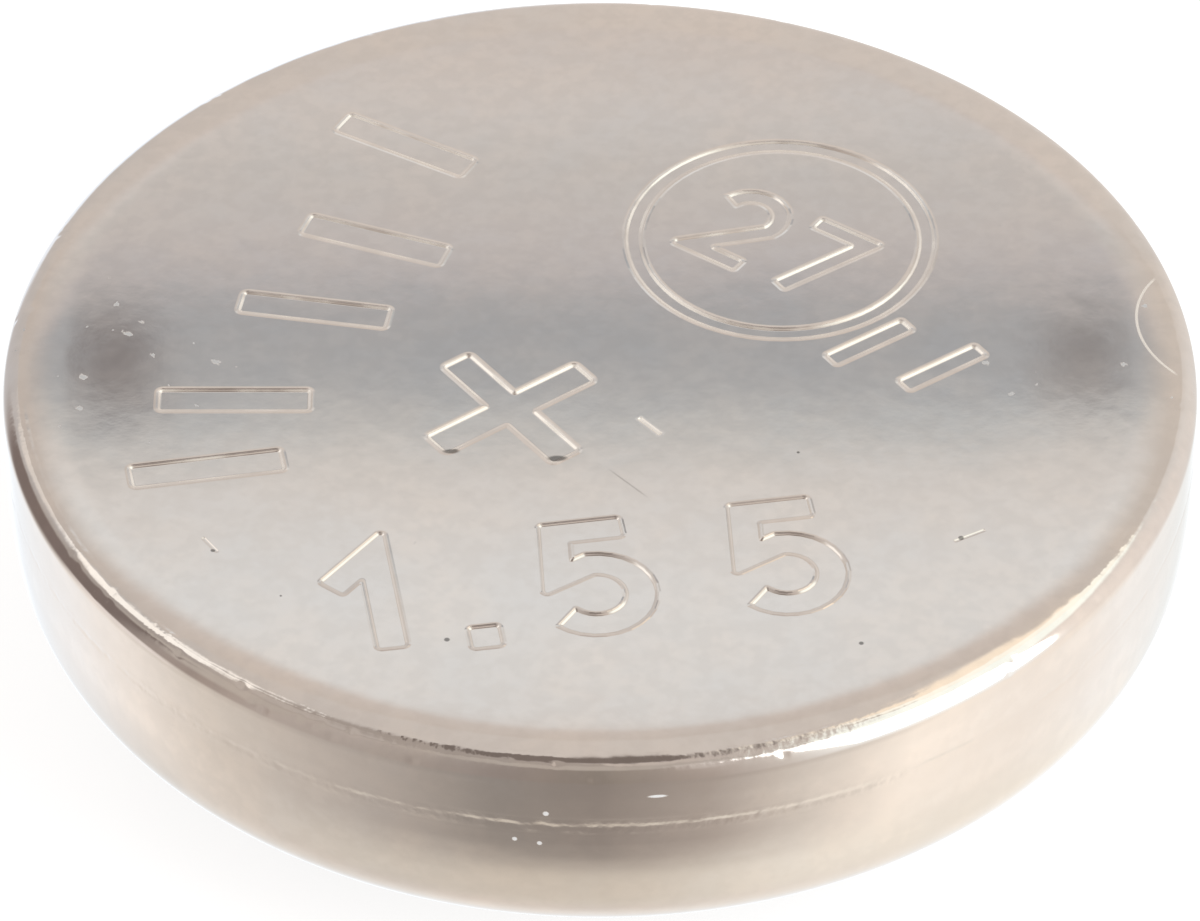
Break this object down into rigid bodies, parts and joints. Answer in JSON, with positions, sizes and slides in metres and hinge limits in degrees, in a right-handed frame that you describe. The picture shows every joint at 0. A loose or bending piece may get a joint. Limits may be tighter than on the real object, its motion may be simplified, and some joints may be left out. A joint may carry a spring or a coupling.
{
  "type": "silver oxide button cell",
  "caption": "Low round crimp-sealed button cell: a drawn steel can with a plus-marked positive face, a nylon gasket ring and a stepped negative cap below.",
  "frame": {"origin": "centre of the negative contact face, the lowest point of the part", "axes": "+Z is the axis of revolution and points from the negative cap to the positive face; +X and +Y lie in the plane of the negative contact face"},
  "size_m": [0.0116, 0.0116, 0.003],
  "materials": {
    "nickel_plate": "satin",
    "nickel_cap": "satin",
    "nylon": "matte",
    "silver_oxide": "matte",
    "bright_steel": "satin",
    "film": "satin",
    "fibre": "matte",
    "zinc": "matte"
  },
  "bodies": {
    "root": {"positive_can": "nickel_plate", "negative_cap": "nickel_cap", "sealing_gasket": "nylon", "cathode_pellet": "silver_oxide", "support_ring": "bright_steel", "barrier_film": "film", "absorbent_pad": "fibre", "zinc_anode": "zinc"}
  },
  "joints": []
}
